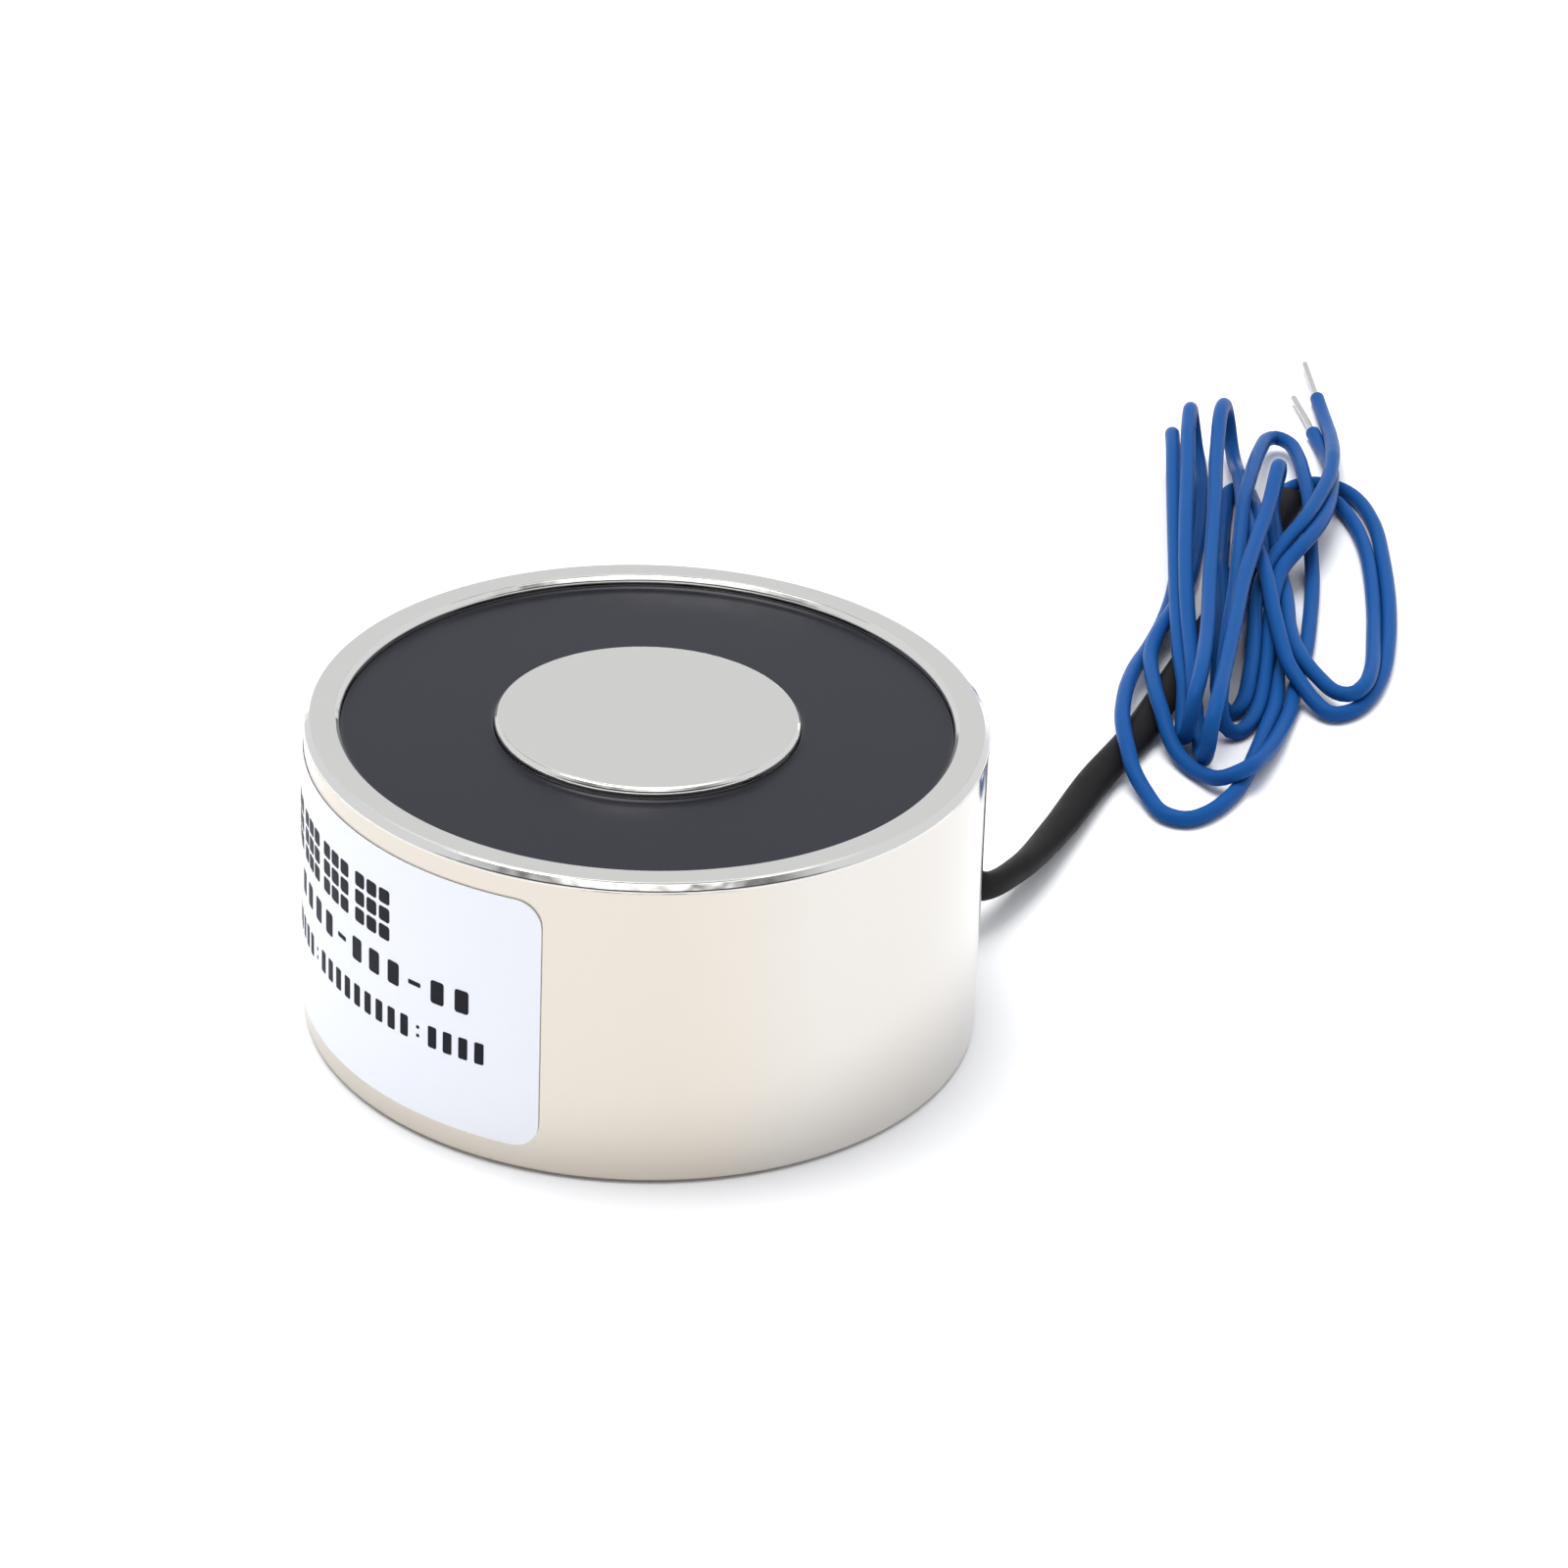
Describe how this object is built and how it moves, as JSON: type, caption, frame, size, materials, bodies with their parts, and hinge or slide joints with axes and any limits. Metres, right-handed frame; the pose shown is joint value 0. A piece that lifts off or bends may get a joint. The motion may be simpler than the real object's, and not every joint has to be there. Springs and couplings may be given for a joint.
{
  "type": "holding electromagnet",
  "caption": "Round holding electromagnet: a coil potted in a nickel-plated steel pot with a centre pole and a tapped hole in the base, with sleeved leads wound into a hank",
  "frame": {"origin": "Centre of the base, on the surface that the magnet stands on", "axes": "+Z is the magnet's axis and points out of the holding face; the label faces -X and -Y, and the leads leave towards +X and +Y"},
  "size_m": [0.07, 0.1149, 0.0195],
  "materials": {
    "nickel_plate": "turned, nickel plated",
    "black_resin": "cast epoxy, satin",
    "black_nylon": "moulded",
    "enamelled_copper": "enamelled copper winding",
    "polyester_tape": "film",
    "enamelled_wire": "enamelled copper wire",
    "blue_insulation": "extruded, satin",
    "tinned_copper": "tinned copper strands",
    "splice_insulation": "glass sleeving",
    "black_sleeve": "heat-shrink tube",
    "white_label": "polyester film, satin"
  },
  "bodies": {
    "root": {"pot_housing": "nickel_plate", "potting_resin": "black_resin", "coil_bobbin": "black_nylon", "coil_winding": "enamelled_copper", "winding_tape": "polyester_tape", "coil_start_tail": "enamelled_wire", "coil_finish_tail": "enamelled_wire", "lead_inside_a": "blue_insulation", "lead_inside_b": "blue_insulation", "solder_joint_a": "tinned_copper", "solder_joint_b": "tinned_copper", "splice_tube_a": "splice_insulation", "splice_tube_b": "splice_insulation", "label": "white_label", "lead_sleeve": "black_sleeve", "wire_hank": "blue_insulation", "wire_end_a": "blue_insulation", "wire_end_b": "blue_insulation", "tinned_end_a": "tinned_copper", "tinned_end_b": "tinned_copper"}
  },
  "joints": []
}
